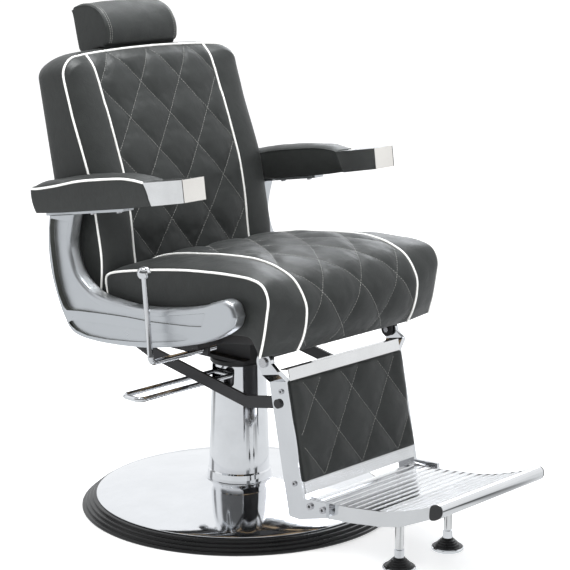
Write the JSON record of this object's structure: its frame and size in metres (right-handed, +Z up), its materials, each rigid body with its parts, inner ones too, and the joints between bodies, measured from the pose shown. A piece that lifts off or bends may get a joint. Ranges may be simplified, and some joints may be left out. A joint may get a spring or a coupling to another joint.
{
  "type": "hydraulic barber chair",
  "caption": "Hydraulic barber chair: quilted seat and reclining back with headrest, cast arm frames, linked legrest with ribbed footplate, pump column on a round domed base.",
  "frame": {"origin": "on the floor, on the axis of the lift column", "axes": "+Z up, the sitter faces -Y, +X is the sitter's left"},
  "size_m": [0.693, 1.1, 1.0785],
  "materials": {
    "vinyl": "satin grained vinyl",
    "chrome": "polished",
    "cast_frame": "satin silver lacquer",
    "bright_steel": "bright",
    "tread": "bright extruded",
    "black_steel": "satin powder coat",
    "rubber": "semi-gloss",
    "iron": "primed",
    "zinc": "zinc plated",
    "plastic": "moulded",
    "board": "plywood"
  },
  "bodies": {
    "base": {"base_ring": "rubber", "base_plate": "iron", "base_cover": "chrome", "swivel_bearing": "zinc", "pump_bolts": "zinc"},
    "pump": {"pump_body": "iron", "pump_cover": "chrome", "gland_ring": "plastic", "ram_seal": "rubber", "lever_pin": "zinc"},
    "lever": {"pump_lever": "chrome"},
    "plunger": {"pump_plunger": "zinc"},
    "seat": {"ram": "chrome", "seat_hub": "black_steel", "mount_plate": "black_steel", "mount_bolts": "zinc", "seat_frame": "black_steel", "seat_board": "board", "seat_cushion": "vinyl", "side_frame_left": "cast_frame", "side_frame_right": "cast_frame", "side_frame_bolts": "zinc", "arm_plate_left": "cast_frame", "arm_plate_right": "cast_frame", "arm_pad_left": "vinyl", "arm_pad_right": "vinyl", "arm_cap_left": "bright_steel", "arm_cap_right": "bright_steel", "arm_screws": "zinc", "back_hinge_pins": "zinc", "leg_hinge_pins": "zinc", "lock_cylinder": "black_steel"},
    "lock_rod": {"lock_rod": "chrome"},
    "recline_handle": {"recline_lever": "chrome", "recline_knob": "chrome"},
    "back": {"back_frame": "black_steel", "back_board": "board", "back_cushion": "vinyl", "back_panel": "vinyl", "headrest_sleeve": "black_steel", "link_rear_pins": "zinc"},
    "headrest": {"headrest_pad": "vinyl", "headrest_post": "bright_steel"},
    "legrest": {"leg_bracket_left": "chrome", "leg_bracket_right": "chrome", "link_front_bolts": "black_steel", "legrest_board": "black_steel", "legrest_pad": "vinyl", "legrest_top_trim": "bright_steel", "legrest_bottom_trim": "tread", "legrest_screws": "zinc", "leg_bumpers": "plastic", "footplate": "tread", "footplate_caps": "plastic", "footplate_screws": "zinc", "leveller_nuts": "zinc"},
    "left_leveller": {"leveller_left": "chrome"},
    "right_leveller": {"leveller_right": "chrome"},
    "left_link": {"link_bar_left": "black_steel"},
    "right_link": {"link_bar_right": "black_steel"}
  },
  "joints": [
    {"name": "swivel", "type": "hinge", "parent": "base", "child": "pump", "pos_m": [0, 0, 0.05], "axis": [0, 0, 1], "continuous": true},
    {"name": "lift", "type": "slide", "parent": "pump", "child": "seat", "axis": [0, 0, 1], "range_m": [0, 0.15]},
    {"name": "recline", "type": "hinge", "parent": "seat", "child": "back", "pos_m": [0, 0.19, 0.462], "axis": [-1, 0, 0], "range_deg": [0, 40]},
    {"name": "legrest_swing", "type": "hinge", "parent": "seat", "child": "legrest", "pos_m": [0, -0.262, 0.402], "axis": [-1, 0, 0], "range_deg": [0, 40]},
    {"name": "left_link_turn", "type": "hinge", "parent": "back", "child": "left_link", "pos_m": [0.167, 0.166, 0.378], "axis": [1, 0, 0], "range_deg": [0, 40]},
    {"name": "right_link_turn", "type": "hinge", "parent": "back", "child": "right_link", "pos_m": [-0.167, 0.166, 0.378], "axis": [1, 0, 0], "range_deg": [0, 40]},
    {"name": "lock_slide", "type": "slide", "parent": "seat", "child": "lock_rod", "axis": [0, -1, 0], "range_m": [0, 0.05]},
    {"name": "recline_lever_pull", "type": "hinge", "parent": "seat", "child": "recline_handle", "pos_m": [-0.2, -0.076, 0.393], "axis": [1, 0, 0], "range_deg": [0, 18]},
    {"name": "headrest_slide", "type": "slide", "parent": "back", "child": "headrest", "axis": [0, 0.2028, 0.9792], "range_m": [0, 0.1]},
    {"name": "pump_lever_stroke", "type": "hinge", "parent": "pump", "child": "lever", "pos_m": [-0.034, 0, 0.302], "axis": [0, -1, 0], "range_deg": [0, 20]},
    {"name": "plunger_stroke", "type": "slide", "parent": "pump", "child": "plunger", "axis": [0, 0, -1], "range_m": [0, 0.0065]},
    {"name": "left_leveller_screw", "type": "slide", "parent": "legrest", "child": "left_leveller", "axis": [0, 0, 1], "range_m": [0, 0.008]},
    {"name": "right_leveller_screw", "type": "slide", "parent": "legrest", "child": "right_leveller", "axis": [0, 0, 1], "range_m": [0, 0.008]}
  ],
  "couplings": [
    {"joint": "legrest_swing", "follows": "recline", "ratio": 1},
    {"joint": "left_link_turn", "follows": "recline", "ratio": 1},
    {"joint": "right_link_turn", "follows": "recline", "ratio": 1},
    {"joint": "lock_slide", "follows": "recline", "m_per_rad": 0.0686},
    {"joint": "plunger_stroke", "follows": "pump_lever_stroke", "m_per_rad": 0.016}
  ]
}
